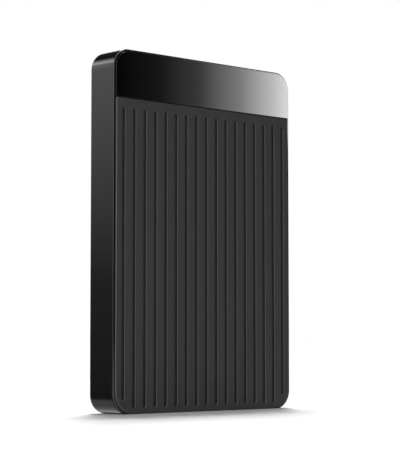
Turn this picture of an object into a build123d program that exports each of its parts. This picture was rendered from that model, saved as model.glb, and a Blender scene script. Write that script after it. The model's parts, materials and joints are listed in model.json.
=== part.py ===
from build123d import *
import math
import os

# A slim portable hard drive, standing on its plain short end. Sizes are in millimetres.
# X is the width, Y the depth with the ribbed front towards -Y, and Z is up.
# The origin is the middle of the end that it stands on.
# Flat pieces are drawn as front views in X and Z and given their thickness in Y.

# The disk drive inside, of the 2.5 inch size
DRIVE_WIDTH = 69.85
DRIVE_LENGTH = 100.2
DRIVE_THICKNESS = 7.0
DRIVE_CORNER_RADIUS = 3.0

# The case walls and the spaces round the drive
SIDE_WALL = 1.5
BACK_WALL = 1.5
FRONT_PLATE = 1.6
CASE_CORNER_RADIUS = 6.0
BACK_EDGE_RADIUS = 1.0
SIDE_GAP = 2.575
BOTTOM_GAP = 0.9
BOARD_SPACE = 10.9
FRONT_PAD = 1.1
REAR_PAD = 1.2
FIT = 0.05

# The thin lip of the tray round the front cover, and the seam between them
LIP = 0.6
LIP_EDGE_RADIUS = 0.3
SEAM = 0.25
PANEL_PROUD = 0.5
PANEL_EDGE_RADIUS = 0.4
PANEL_FOOT_GAP = 0.15
PANEL_FOOT_RADIUS = 7.0

# The skirt behind the front cover and its snap nubs
SKIRT_THICKNESS = 0.8
SKIRT_CLEARANCE = 0.15
NUB_LENGTH = 8.0
NUB_HEIGHT = 0.4
NUB_BITE = 0.2
NUB_PLAY = 0.15
NUB_HEIGHTS = (25.0, 75.0)

# The gloss band at the top of the front
BAND_HEIGHT = 15.5
BAND_THICKNESS = 0.9
BAND_EDGE_RADIUS = 0.05
BAND_GAP = 0.2
BAND_SEAM = 0.1
ADHESIVE = 0.1
ADHESIVE_MARGIN = 1.2

# The grooves of the front cover
GROOVE_PITCH = 4.4
GROOVE_WIDTH = 1.5
GROOVE_DEPTH = 0.5
GROOVE_DRAFT = 16.0
GROOVE_SIDE_MARGIN = 2.0
GROOVE_TOP_MARGIN = 3.0
GROOVE_BOTTOM_MARGIN = 1.75

# The rubber corners that hold the drive
BUMPER_LENGTH = 14.0
BUMPER_REACH = 7.0
BUMPER_CAP = 1.2
STOP_RIB = 1.2

# The foam pads in front of and behind the drive
PAD_SIDE_MARGIN = 6.0
PAD_END_MARGIN = 8.0

# The bridge board between the drive and the data socket
BRIDGE_THICKNESS = 1.0
BRIDGE_RIGHT = 21.5
BRIDGE_END_GAP = 0.5
BRIDGE_SCREW_INSET = 2.3
BRIDGE_SCREW_DROP = 2.6
BRIDGE_BOSS_RADIUS = 1.9
BRIDGE_SCREW_BITE = 2.2

# The data socket, a flat shell with two chambers
SOCKET_WIDTH = 12.3
SOCKET_HEIGHT = 2.9
SOCKET_LENGTH = 6.6
SOCKET_WALL = 0.3
SOCKET_CORNER_RADIUS = 0.7
SOCKET_NOTCH_WIDTH = 0.5
SOCKET_NOTCH_DEPTH = 0.7
SOCKET_NOTCH_OFFSET = 1.6
SOCKET_RECESS = 0.4
SOCKET_PLAY = 0.3
TONGUE_THICKNESS = 0.6
TONGUE_SIDE_GAP = 0.45
TONGUE_RECESS = 0.8
TONGUE_ROOT = 1.6

# The activity light and its clear rod to the end wall
LIGHT_OFFSET = 12.0
LIGHT_PIPE_RADIUS = 0.9
LIGHT_FLANGE_RADIUS = 1.3
LIGHT_FLANGE = 0.6
LED_WIDTH = 1.6
LED_HEIGHT = 0.8
LED_THICKNESS = 0.7
LED_GAP = 0.1

# Chips
CHIP_HEIGHT = 0.45
BRIDGE_CHIP_SIZE = 5.0
BRIDGE_CHIP_HEIGHT = 0.9
BRIDGE_CHIP_OFFSET = -15.0
CONTROLLER_SIZE = 12.0
BUFFER_WIDTH = 8.0
BUFFER_LENGTH = 10.0
MOTOR_CHIP_SIZE = 7.0

# The drive's connector and the one that plugs on to it
PLUG_INSET = 8.725
PLUG_WIDTH = 36.4
PLUG_DEPTH = 6.2
PLUG_ROOT = 1.1
PLUG_FRONT = 2.4
PLUG_PLAY = 0.4
BLADE_THICKNESS = 1.2
BLADE_LENGTH = 4.7
BLADE_LEVEL = 3.6
SIGNAL_BLADE = 10.4
POWER_BLADE = 20.6
BLADE_SPACING = 2.4
BLADE_PLAY = 0.15
CONNECTOR_WALL = 0.85
CONNECTOR_REACH = 3.4

# The drive's casting, sheet cover and seal
COVER_SHEET = 0.5
COVER_INSET = 0.4
GASKET = 0.4
GASKET_WIDTH = 0.9
GASKET_INSET = 0.15
CASTING_DEPTH = 4.6
CASTING_FLOOR = 0.8
DISC_CLEARANCE = 0.925
SHROUD_WALL = 1.5
BAY_WALL = 2.0
BAY_DROP = 14.4
BAY_CORNER_RADIUS = 5.0
END_WALL = 1.5
BACK_POCKET_DEPTH = 1.0
BACK_POCKET_RADIUS = 30.0
MOTOR_BOSS_RADIUS = 12.5
SIDE_HOLE_RADIUS = 1.25
SIDE_HOLE_DEPTH = 1.5
SIDE_HOLE_HEIGHT = 3.0
SIDE_HOLE_UPPER_INSET = 14.0
SIDE_HOLE_LOWER_INSET = 9.6

# Screws
SCREW_RADIUS = 0.8
SCREW_HEAD_RADIUS = 1.5
SCREW_HEAD = 0.4
COVER_SCREW_INSET = 3.2
COVER_SCREW_BITE = 3.0
COVER_BOSS_RADIUS = 1.8
COVER_SCREW_HEAD = 0.3
MIDDLE_SCREW_DROP = 3.7

# The drive's own board
BOARD_THICKNESS = 0.7
BOARD_SIDE_GAP = 1.9
BOARD_START = 14.8
BOARD_PLAY = 0.2
BOARD_SCREW_INSET = 1.9
BOARD_SCREW_BITE = 1.4
BOARD_BOSS_RADIUS = 1.7

# The disc and its motor
DISC_BORE = 10.0
DISC_THICKNESS = 0.8
DISC_LEVEL = 2.2
CLAMP_RADIUS = 11.6
CLAMP_THICKNESS = 0.5
CLAMP_HEAD_RADIUS = 2.4
CLAMP_HEAD = 0.35
CLAMP_SCREW_BITE = 1.8
HUB_FLANGE_RADIUS = 12.0
HUB_FLANGE = 0.6
HUB_SKIRT = 2.0
HUB_SKIRT_RADIUS = 9.9
MAGNET_RING_RADIUS = 8.8
MAGNET_RING_WALL = 1.0
MAGNET_RING_LENGTH = 1.8
WELL_CLEARANCE = 0.5
WELL_DEPTH = 1.6
SHAFT_RADIUS = 1.5
SHAFT_SEAT_FIT = 0.01
SHAFT_RUNNING_FIT = 0.03
SHAFT_FOOT_GAP = 0.2
SLEEVE_RADIUS = 3.2
SLEEVE_TOP_GAP = 0.15
STATOR_TEETH = 9
STATOR_GAP = 0.2
STATOR_YOKE = 1.3
STATOR_THICKNESS = 1.0
STATOR_SEAT = 1.0
TOOTH_WIDTH = 1.1
TOOTH_SHOE = 0.7
TOOTH_SHOE_ANGLE = 28.0
COIL_WALL = 0.4
COIL_END_GAP = 0.15

# The actuator: its pivot stands beside the disc, and its arms are parked off the disc at rest
PIVOT_GAP = 5.9
ARM_ANGLE = -13.0
PIVOT_RADIUS = 1.6
PIVOT_FOOT_RADIUS = 2.6
PIVOT_FOOT = 0.25
BEARING_RADIUS = 3.45
BEARING_WIDTH = 1.0
PIVOT_SLEEVE_RADIUS = 4.2
ARM_RING_RADIUS = 5.4
ARM_TOP = 0.9
ARM_THICKNESS = 0.8
ARM_DISC_GAP = 0.5
ARM_LENGTH = 19.0
ARM_TIP_RADIUS = 2.2
ARM_HOLE_RADIUS = 1.5
ARM_HOLE_PLACE = 12.0
SUSPENSION_SHEET = 0.15
SUSPENSION_OVERLAP = 2.2
SUSPENSION_ROOT_WIDTH = 4.0
SUSPENSION_TIP_WIDTH = 1.6
HEAD_END = 1.2
LIFT_TAB_LENGTH = 2.8
LIFT_TAB_WIDTH = 0.6
SLIDER_LENGTH = 1.2
SLIDER_WIDTH = 1.0
FLYING_GAP = 0.1

# The voice coil motor
COIL_INNER = 8.0
COIL_OUTER = 17.5
COIL_HALF_ANGLE = 17.0
COIL_STRAND = 2.0
COIL_STRAND_ANGLE = 7.0
COIL_THICKNESS = 1.2
COIL_LEVEL = 2.0
FORK_EXTRA = 0.1
FORK_HALF_ANGLE = 21.0
MAGNET_GAP = 0.15
MAGNET_THICKNESS = 0.45
YOKE_THICKNESS = 0.7
YOKE_INNER = 7.0
YOKE_OUTER = 18.0
YOKE_SIDE_GAP = 2.425
YOKE_END_GAP = 3.2
YOKE_ANGLES = (94.0, 204.0)
MAGNET_ANGLES = (110.0, 188.0)
MAGNET_MARGIN = 0.8
POST_RADIUS = 1.2
POST_INSET = 3.0
POST_ANGLES = (101.0, 197.0)
STOP_RADIUS = 1.9

# The parking ramp, the filters and the flexible lead's bracket
RAMP_HALF_ANGLE = 4.0
RAMP_HEAD_GAP = 1.2
RAMP_TAB_MARGIN = 0.8
RAMP_BLOCK = 5.2
RAMP_SIDE_GAP = 3.425
RAMP_TAB_GAP = 0.2
FILTER_WIDTH = 4.0
FILTER_LENGTH = 4.5
FILTER_TOP = 1.4
BREATHER_WIDTH = 9.0
BREATHER_LENGTH = 8.0
BREATHER_TOP = 2.0
BAY_PIECE_GAP = 0.3
BRACKET_WIDTH = 8.0
BRACKET_LENGTH = 5.0
BRACKET_TOP = 1.6
BRACKET_PLACE = (17.0, 12.0)
LEAD_THICKNESS = 0.25
LEAD_HEIGHT = 1.6
LEAD_GAP = 0.2
LEAD_ANGLE = 60.0

# Overall sizes that follow from the pieces
CASE_WIDTH = DRIVE_WIDTH + 2 * (SIDE_GAP + SIDE_WALL)
CASE_HEIGHT = DRIVE_LENGTH + BOTTOM_GAP + BOARD_SPACE + 2 * SIDE_WALL
CASE_DEPTH = FRONT_PLATE + FRONT_PAD + DRIVE_THICKNESS + REAR_PAD + BACK_WALL

# Depths from front to back
FRONT_Y = -CASE_DEPTH / 2
BACK_Y = CASE_DEPTH / 2
LIP_Y = FRONT_Y + PANEL_PROUD
PLATE_BACK_Y = FRONT_Y + FRONT_PLATE
DRIVE_Y = PLATE_BACK_Y + FRONT_PAD
DRIVE_BACK_Y = DRIVE_Y + DRIVE_THICKNESS
TRAY_FLOOR_Y = BACK_Y - BACK_WALL
SKIRT_END_Y = DRIVE_Y - SKIRT_CLEARANCE
NUB_Y = (PLATE_BACK_Y + SKIRT_END_Y) / 2

# Heights and widths of the case and the drive
DRIVE_LOW = SIDE_WALL + BOTTOM_GAP
DRIVE_HIGH = DRIVE_LOW + DRIVE_LENGTH
DRIVE_MIDDLE = DRIVE_LOW + DRIVE_LENGTH / 2
DRIVE_SIDE = DRIVE_WIDTH / 2
INNER_SIDE = CASE_WIDTH / 2 - SIDE_WALL
INNER_TOP = CASE_HEIGHT - SIDE_WALL
PANEL_INSET = LIP + SEAM
BAND_LOW = CASE_HEIGHT - BAND_HEIGHT
STEP_HEIGHT = BAND_LOW - BAND_GAP
GROOVE_LIMIT = CASE_WIDTH / 2 - PANEL_INSET - GROOVE_SIDE_MARGIN - GROOVE_WIDTH / 2
GROOVES_EACH_SIDE = int(GROOVE_LIMIT / GROOVE_PITCH)

# Levels inside the drive, from its cover inwards
SHEET_Y = DRIVE_Y + COVER_SHEET
RIM_Y = SHEET_Y + GASKET
FLOOR_Y = DRIVE_Y + CASTING_DEPTH
BOARD_RECESS_Y = FLOOR_Y + CASTING_FLOOR
WELL_Y = FLOOR_Y + WELL_DEPTH
BOARD_Y = BOARD_RECESS_Y + CHIP_HEIGHT + FIT
BOARD_BACK_Y = BOARD_Y + BOARD_THICKNESS
DISC_Y = DRIVE_Y + DISC_LEVEL
DISC_BACK_Y = DISC_Y + DISC_THICKNESS
CLAMP_Y = DISC_Y - CLAMP_THICKNESS
HUB_BACK_Y = DISC_BACK_Y + HUB_FLANGE
STATOR_BACK_Y = WELL_Y - STATOR_SEAT
STATOR_Y = STATOR_BACK_Y - STATOR_THICKNESS
ARM_Y = DRIVE_Y + ARM_TOP
UPPER_ARM_BACK_Y = ARM_Y + ARM_THICKNESS
LOWER_ARM_Y = DISC_BACK_Y + ARM_DISC_GAP
ARM_BACK_Y = LOWER_ARM_Y + ARM_THICKNESS
COIL_Y = DRIVE_Y + COIL_LEVEL
COIL_BACK_Y = COIL_Y + COIL_THICKNESS
FORK_Y = COIL_Y - FORK_EXTRA
FORK_BACK_Y = COIL_BACK_Y + FORK_EXTRA
UPPER_MAGNET_BACK_Y = FORK_Y - MAGNET_GAP
UPPER_YOKE_BACK_Y = UPPER_MAGNET_BACK_Y - MAGNET_THICKNESS
LOWER_MAGNET_Y = FORK_BACK_Y + MAGNET_GAP
LOWER_YOKE_Y = LOWER_MAGNET_Y + MAGNET_THICKNESS
UPPER_TAB_BACK_Y = UPPER_ARM_BACK_Y + SUSPENSION_SHEET
LOWER_TAB_Y = LOWER_ARM_Y - SUSPENSION_SHEET

# Places inside the drive, as X and Z
PLUG_LOW = DRIVE_HIGH - PLUG_DEPTH
PLUG_LEFT = -DRIVE_SIDE + PLUG_INSET
PLUG_RIGHT = PLUG_LEFT + PLUG_WIDTH
BAY_HIGH = PLUG_LOW - END_WALL
BAY_SIDE = DRIVE_SIDE - BAY_WALL
PIVOT = (YOKE_OUTER + YOKE_SIDE_GAP - BAY_SIDE, BAY_HIGH - YOKE_END_GAP - YOKE_OUTER)
BAY_LOW = PIVOT[1] - BAY_DROP

# The disc is as large as the casting's width and the room below the pivot allow
DISC_LOW = DRIVE_LOW + SHROUD_WALL + DISC_CLEARANCE
DISC_ROOM = PIVOT[1] - DISC_LOW
DISC_BY_PIVOT = (DISC_ROOM ** 2 + PIVOT[0] ** 2 - PIVOT_GAP ** 2) / (2 * (DISC_ROOM + PIVOT_GAP))
DISC_BY_WIDTH = DRIVE_SIDE - SHROUD_WALL - DISC_CLEARANCE
DISC_RADIUS = min(DISC_BY_PIVOT, DISC_BY_WIDTH)
SHROUD_RADIUS = DISC_RADIUS + DISC_CLEARANCE
PIVOT_RISE = math.sqrt((DISC_RADIUS + PIVOT_GAP) ** 2 - PIVOT[0] ** 2)
SPINDLE = (0.0, PIVOT[1] - PIVOT_RISE)

# The parked arm points past the disc to the ramp at the side of the bay
RAMP_ANGLES = (ARM_ANGLE - RAMP_HALF_ANGLE, ARM_ANGLE + RAMP_HALF_ANGLE)
RAMP_END = BAY_SIDE - RAMP_SIDE_GAP - PIVOT[0]
RAMP_FIN_END = RAMP_END - RAMP_BLOCK
HEAD_REACH = RAMP_FIN_END - RAMP_TAB_MARGIN - LIFT_TAB_LENGTH - HEAD_END
RAMP_FIN_START = HEAD_REACH + SLIDER_LENGTH / 2 + RAMP_HEAD_GAP

# More places inside the drive, and those of the bridge board and the socket
CORNER_ROOM = BAY_CORNER_RADIUS * (1 - math.sqrt(0.5)) + BAY_PIECE_GAP
BOARD_SIDE = DRIVE_SIDE - BOARD_SIDE_GAP
BOARD_LOW = SPINDLE[1] + BOARD_START
BOARD_HIGH = PLUG_LOW + PLUG_ROOT
WELL_RADIUS = HUB_SKIRT_RADIUS + WELL_CLEARANCE
STATOR_RADIUS = MAGNET_RING_RADIUS - MAGNET_RING_WALL - STATOR_GAP
STATOR_BORE = SLEEVE_RADIUS + FIT
STATOR_ROOT = STATOR_BORE + STATOR_YOKE
CONNECTOR_Y = DRIVE_Y + BLADE_LEVEL - BLADE_THICKNESS / 2 - BLADE_PLAY - CONNECTOR_WALL
BRIDGE_Y = DRIVE_Y + BLADE_LEVEL + BLADE_THICKNESS / 2 + BLADE_PLAY + CONNECTOR_WALL
BRIDGE_BACK_Y = BRIDGE_Y + BRIDGE_THICKNESS
BRIDGE_SCREW_TIP_Y = BRIDGE_BACK_Y + BRIDGE_SCREW_BITE
BRIDGE_LOW = DRIVE_HIGH + BRIDGE_END_GAP
BRIDGE_LEFT = DRIVE_SIDE - BUMPER_REACH - BRIDGE_END_GAP
BRIDGE_HIGH = INNER_TOP - BRIDGE_END_GAP
SOCKET_HIGH = CASE_HEIGHT - SOCKET_RECESS
SOCKET_LOW = SOCKET_HIGH - SOCKET_LENGTH
SOCKET_Y = BRIDGE_Y - SOCKET_HEIGHT / 2
LIGHT_Y = BRIDGE_Y - LIGHT_FLANGE_RADIUS - FIT
LIGHT_FLANGE_LOW = INNER_TOP - LIGHT_FLANGE


def slab(view, y_front, y_back):
    """Give a front view, drawn in X and Z, its thickness between two depths."""
    return extrude(Plane.XZ.offset(-y_back) * view, amount=y_back - y_front)


def column(plan, z_low, z_high):
    """Raise a plan, drawn in X and Y, between two heights."""
    return extrude(Plane.XY.offset(z_low) * plan, amount=z_high - z_low)


def circle(place, radius):
    return Pos(*place) * Circle(radius)


def washer(place, outer, inner):
    return circle(place, outer) - circle(place, inner)


def window(x_low, x_high, z_low, z_high):
    """A plain rectangle between two corners."""
    return Pos((x_low + x_high) / 2, (z_low + z_high) / 2) * Rectangle(x_high - x_low, z_high - z_low)


def polar(place, reach, angle):
    """The point at a reach and an angle from a place, seen from the front."""
    turn = math.radians(angle)
    return (place[0] + reach * math.cos(turn), place[1] + reach * math.sin(turn))


def sector(place, inner, outer, angle_low, angle_high):
    """Part of a flat ring between two angles."""
    inner_arc = CenterArc(place, inner, angle_low, angle_high - angle_low)
    outer_arc = CenterArc(place, outer, angle_low, angle_high - angle_low)
    first_side = Line(inner_arc @ 0, outer_arc @ 0)
    last_side = Line(inner_arc @ 1, outer_arc @ 1)
    return make_face([inner_arc, outer_arc, first_side, last_side])


def front_edges(piece):
    return piece.faces().sort_by(Axis.Y)[0].edges()


def screws(places, head_radius, head_y, seat_y, tip_y):
    """A set of plain screws: each has a flat head and a shank towards its tip."""
    low, high = sorted((head_y, seat_y))
    start, end = sorted((seat_y, tip_y))
    heads = [slab(circle(place, head_radius), low, high) for place in places]
    shanks = [slab(circle(place, SCREW_RADIUS), start, end) for place in places]
    return Compound([head + shank for head, shank in zip(heads, shanks)])


def holes(places, radius, y_front, y_back):
    return [slab(circle(place, radius), y_front, y_back) for place in places]


def mirrored(x, z):
    return [(-x, z), (x, z)]


# The case


def case_view(inset=0.0):
    """The front view of the case, set in by a margin all round."""
    width = CASE_WIDTH - 2 * inset
    height = CASE_HEIGHT - 2 * inset
    return Pos(0, CASE_HEIGHT / 2) * RectangleRounded(width, height, CASE_CORNER_RADIUS - inset)


def panel_view(grow=0.0):
    """The front view of the cover, which runs down over the lower wall, with an even margin round it."""
    side = CASE_WIDTH / 2 - PANEL_INSET + grow
    view = window(-side, side, PANEL_FOOT_GAP - grow, CASE_HEIGHT - PANEL_INSET + grow)
    view = fillet(view.vertices().sort_by(Axis.Y)[:2], PANEL_FOOT_RADIUS + grow)
    return fillet(view.vertices().sort_by(Axis.Y)[-2:], CASE_CORNER_RADIUS - PANEL_INSET + grow)


def drive_view(grow=0.0):
    """The front view of the drive, with an even margin round it."""
    width = DRIVE_WIDTH + 2 * grow
    height = DRIVE_LENGTH + 2 * grow
    return Pos(0, DRIVE_MIDDLE) * RectangleRounded(width, height, DRIVE_CORNER_RADIUS + grow)


def snap_bars(length, height, reach):
    """Short bars across the skirt's outer face, where the front cover snaps into the tray."""
    outer = INNER_SIDE + reach
    inner = INNER_SIDE - SKIRT_CLEARANCE
    bars = []
    for z in NUB_HEIGHTS:
        for x_low, x_high in ((-outer, -inner), (inner, outer)):
            view = window(x_low, x_high, z - length / 2, z + length / 2)
            bars.append(slab(view, NUB_Y - height / 2, NUB_Y + height / 2))
    return bars


def bumper_stops():
    """Ribs inside the tray that the upper bumpers rest against."""
    low = DRIVE_HIGH + BUMPER_CAP
    inner = DRIVE_SIDE - BUMPER_REACH
    left = window(-INNER_SIDE - FIT, -inner, low, low + STOP_RIB)
    right = window(inner, INNER_SIDE + FIT, low, low + STOP_RIB)
    return [slab(view, DRIVE_Y, TRAY_FLOOR_Y + FIT) for view in (left, right)]


def bridge_screw_places():
    z = BRIDGE_HIGH - BRIDGE_SCREW_DROP
    return [(-BRIDGE_LEFT + BRIDGE_SCREW_INSET, z), (BRIDGE_RIGHT - BRIDGE_SCREW_INSET, z)]


def rear_shell():
    """The tray: back, side walls and lip, moulded in one."""
    tray = slab(case_view(), LIP_Y, BACK_Y)
    tray = fillet(tray.faces().sort_by(Axis.Y)[-1].edges(), BACK_EDGE_RADIUS)
    tray = fillet(front_edges(tray), LIP_EDGE_RADIUS)
    tray -= slab(panel_view(SEAM), LIP_Y, PLATE_BACK_Y)
    tray -= slab(case_view(SIDE_WALL), PLATE_BACK_Y, TRAY_FLOOR_Y)
    tray += bumper_stops()
    tray += holes(bridge_screw_places(), BRIDGE_BOSS_RADIUS, BRIDGE_BACK_Y, TRAY_FLOOR_Y + FIT)
    tray -= holes(bridge_screw_places(), SCREW_RADIUS + FIT, BRIDGE_BACK_Y, BRIDGE_SCREW_TIP_Y)
    tray -= snap_bars(NUB_LENGTH + 2 * NUB_PLAY, NUB_HEIGHT + 2 * NUB_PLAY, NUB_BITE + NUB_PLAY)
    tray -= column(socket_plan(-SOCKET_PLAY, notched=False), INNER_TOP, CASE_HEIGHT)
    tray -= column(circle((LIGHT_OFFSET, LIGHT_Y), LIGHT_PIPE_RADIUS + FIT), INNER_TOP, CASE_HEIGHT)
    return tray


def groove_view(x):
    """One round-ended groove, whose foot keeps its margin from the panel's edge and corner."""
    half = GROOVE_WIDTH / 2
    corner_x = CASE_WIDTH / 2 - PANEL_INSET - PANEL_FOOT_RADIUS
    foot_radius = PANEL_FOOT_RADIUS - GROOVE_BOTTOM_MARGIN - half
    past_corner = max(abs(x) - corner_x, 0.0)
    foot = PANEL_FOOT_GAP + PANEL_FOOT_RADIUS - math.sqrt(foot_radius ** 2 - past_corner ** 2)
    head = STEP_HEIGHT - GROOVE_TOP_MARGIN - half
    return Pos(x, (foot + head) / 2) * Rot(0, 0, 90) * SlotCenterToCenter(head - foot, GROOVE_WIDTH)


def front_cover():
    """The ribbed cover, with a lower seat for the gloss band and a skirt that snaps into the tray."""
    cover = slab(panel_view(), FRONT_Y, PLATE_BACK_Y)
    seat = window(-CASE_WIDTH / 2, CASE_WIDTH / 2, STEP_HEIGHT, CASE_HEIGHT)
    cover -= slab(seat, FRONT_Y, FRONT_Y + BAND_THICKNESS + ADHESIVE)
    cover = fillet(front_edges(cover), PANEL_EDGE_RADIUS)
    face = Plane.XZ.offset(-FRONT_Y)
    for index in range(-GROOVES_EACH_SIDE, GROOVES_EACH_SIDE + 1):
        groove = groove_view(index * GROOVE_PITCH)
        cover -= extrude(face * groove, amount=-GROOVE_DEPTH, taper=GROOVE_DRAFT)
    skirt_inset = SIDE_WALL + SKIRT_CLEARANCE
    skirt = case_view(skirt_inset) - case_view(skirt_inset + SKIRT_THICKNESS)
    cover += slab(skirt, PLATE_BACK_Y - FIT, SKIRT_END_Y)
    cover += snap_bars(NUB_LENGTH, NUB_HEIGHT, NUB_BITE)
    return cover


def band_view(inset=0.0):
    """The top of the front, from the band's lower edge up."""
    upper = window(-CASE_WIDTH / 2, CASE_WIDTH / 2, BAND_LOW + inset, CASE_HEIGHT)
    return case_view(LIP + BAND_SEAM + inset) & upper


def gloss_band():
    band = slab(band_view(), FRONT_Y, FRONT_Y + BAND_THICKNESS)
    return fillet(front_edges(band), BAND_EDGE_RADIUS)


def band_adhesive():
    start = FRONT_Y + BAND_THICKNESS
    return slab(band_view(ADHESIVE_MARGIN), start, start + ADHESIVE)


def bumper(side, upper):
    """A rubber corner between the drive and the tray: side is -1 at the left and 1 at the right."""
    if upper:
        z_low = DRIVE_HIGH - BUMPER_LENGTH
        z_high = DRIVE_HIGH + BUMPER_CAP
    else:
        z_low = 0.0
        z_high = DRIVE_LOW + BUMPER_LENGTH
    x_low, x_high = sorted((side * CASE_WIDTH / 2, side * (DRIVE_SIDE - BUMPER_REACH)))
    space = case_view(SIDE_WALL + FIT) - drive_view(FIT)
    return slab(space & window(x_low, x_high, z_low, z_high), DRIVE_Y, TRAY_FLOOR_Y)


def front_pad():
    side = DRIVE_SIDE - PAD_SIDE_MARGIN
    view = window(-side, side, DRIVE_LOW + PAD_END_MARGIN, DRIVE_HIGH - PAD_END_MARGIN)
    return slab(view, PLATE_BACK_Y, DRIVE_Y)


def rear_pad():
    side = DRIVE_SIDE - PAD_SIDE_MARGIN
    view = window(-side, side, DRIVE_LOW + PAD_END_MARGIN, BOARD_LOW - BOARD_PLAY)
    return slab(view, DRIVE_BACK_Y, TRAY_FLOOR_Y)


# The bridge board and what is soldered to it


def bridge_board():
    board = slab(window(-BRIDGE_LEFT, BRIDGE_RIGHT, BRIDGE_LOW, BRIDGE_HIGH), BRIDGE_Y, BRIDGE_BACK_Y)
    return board - holes(bridge_screw_places(), SCREW_RADIUS + FIT, BRIDGE_Y, BRIDGE_BACK_Y)


def bridge_screws():
    head_y = BRIDGE_Y - SCREW_HEAD
    return screws(bridge_screw_places(), SCREW_HEAD_RADIUS, head_y, BRIDGE_Y, BRIDGE_SCREW_TIP_Y)


def bridge_chip():
    half = BRIDGE_CHIP_SIZE / 2
    z = BRIDGE_HIGH - BRIDGE_END_GAP - half
    view = window(BRIDGE_CHIP_OFFSET - half, BRIDGE_CHIP_OFFSET + half, z - half, z + half)
    return slab(view, BRIDGE_Y - BRIDGE_CHIP_HEIGHT, BRIDGE_Y)


def socket_plan(inset=0.0, notched=True):
    """The end view of the data socket, drawn in X and Y, with its key notch towards the front."""
    width = SOCKET_WIDTH - 2 * inset
    height = SOCKET_HEIGHT - 2 * inset
    plan = Pos(0, SOCKET_Y) * RectangleRounded(width, height, SOCKET_CORNER_RADIUS - inset)
    if notched:
        depth = SOCKET_NOTCH_DEPTH + inset
        notch_y = SOCKET_Y - SOCKET_HEIGHT / 2 + depth / 2
        plan -= Pos(SOCKET_NOTCH_OFFSET, notch_y) * Rectangle(SOCKET_NOTCH_WIDTH + 2 * inset, depth)
    return plan


def socket_shell():
    """The folded steel shell of the data socket."""
    return column(socket_plan() - socket_plan(SOCKET_WALL), SOCKET_LOW, SOCKET_HIGH)


def socket_tongue():
    """The moulded insert: a root that fills the shell, and a contact tongue in each chamber."""
    insert = column(socket_plan(SOCKET_WALL + FIT), SOCKET_LOW, SOCKET_LOW + TONGUE_ROOT)
    chamber = SOCKET_WIDTH / 2 - SOCKET_WALL - TONGUE_SIDE_GAP
    notch_side = SOCKET_NOTCH_WIDTH / 2 + SOCKET_WALL + TONGUE_SIDE_GAP
    spans = ((-chamber, SOCKET_NOTCH_OFFSET - notch_side), (SOCKET_NOTCH_OFFSET + notch_side, chamber))
    for x_low, x_high in spans:
        blade = Pos((x_low + x_high) / 2, SOCKET_Y) * Rectangle(x_high - x_low, TONGUE_THICKNESS)
        insert += column(blade, SOCKET_LOW, SOCKET_HIGH - TONGUE_RECESS)
    return insert


def activity_led():
    top = LIGHT_FLANGE_LOW - LED_GAP
    view = window(LIGHT_OFFSET - LED_WIDTH / 2, LIGHT_OFFSET + LED_WIDTH / 2, top - LED_HEIGHT, top)
    return slab(view, BRIDGE_Y - LED_THICKNESS, BRIDGE_Y)


def light_pipe():
    """The clear rod from the light to the end wall, with a flange behind the wall."""
    place = (LIGHT_OFFSET, LIGHT_Y)
    rod = column(circle(place, LIGHT_PIPE_RADIUS), LIGHT_FLANGE_LOW, CASE_HEIGHT)
    return rod + column(circle(place, LIGHT_FLANGE_RADIUS), LIGHT_FLANGE_LOW, INNER_TOP)


def blade_spans(grow=0.0):
    """The left and right ends of the signal and power blades."""
    middle = (PLUG_LEFT + PLUG_RIGHT) / 2
    total = SIGNAL_BLADE + BLADE_SPACING + POWER_BLADE
    left = middle - total / 2
    right = middle + total / 2
    return ((left - grow, left + SIGNAL_BLADE + grow), (right - POWER_BLADE - grow, right + grow))


def blades(grow, z_low, z_high):
    half = BLADE_THICKNESS / 2 + grow
    level = DRIVE_Y + BLADE_LEVEL
    views = [window(left, right, z_low, z_high) for left, right in blade_spans(grow)]
    return [slab(view, level - half, level + half) for view in views]


def drive_plug():
    """The drive's connector: a root on the drive's board, and two flat blades."""
    root = window(PLUG_LEFT, PLUG_RIGHT, PLUG_LOW + FIT, PLUG_LOW + PLUG_ROOT)
    plug = slab(root, DRIVE_Y + PLUG_FRONT, BOARD_Y)
    return plug + blades(0.0, PLUG_LOW + PLUG_ROOT - FIT, PLUG_LOW + PLUG_ROOT + BLADE_LENGTH)


def board_connector():
    """The bridge board's connector, which takes the drive's blades."""
    low = PLUG_LOW + PLUG_ROOT + BLADE_PLAY
    body = window(PLUG_LEFT, PLUG_RIGHT, low, DRIVE_HIGH + CONNECTOR_REACH)
    housing = slab(body, CONNECTOR_Y, BRIDGE_Y)
    return housing - blades(BLADE_PLAY, low, low + BLADE_LENGTH)


# The disk drive's casing


def cavity_view(grow=0.0):
    """The sealed space of the drive: a round well for the disc and a bay for the actuator."""
    well = circle(SPINDLE, SHROUD_RADIUS + grow)
    height = BAY_HIGH - BAY_LOW + 2 * grow
    bay = RectangleRounded(2 * (BAY_SIDE + grow), height, BAY_CORNER_RADIUS + grow)
    return well + Pos(0, (BAY_LOW + BAY_HIGH) / 2) * bay


def cover_screw_places():
    side = DRIVE_SIDE - COVER_SCREW_INSET
    lower = mirrored(side, DRIVE_LOW + COVER_SCREW_INSET)
    middle = mirrored(side, BAY_LOW - MIDDLE_SCREW_DROP)
    upper = mirrored(side, DRIVE_HIGH - COVER_SCREW_INSET)
    return lower + middle + upper


def board_screw_places():
    side = BOARD_SIDE - BOARD_SCREW_INSET
    return mirrored(side, BOARD_LOW + BOARD_SCREW_INSET) + mirrored(side, BOARD_HIGH - BOARD_SCREW_INSET)


def board_view(grow=0.0):
    return window(-BOARD_SIDE - grow, BOARD_SIDE + grow, BOARD_LOW - grow, BOARD_HIGH + grow)


def ramp_screw_place():
    return polar(PIVOT, (RAMP_FIN_END + RAMP_END) / 2, ARM_ANGLE)


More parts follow.
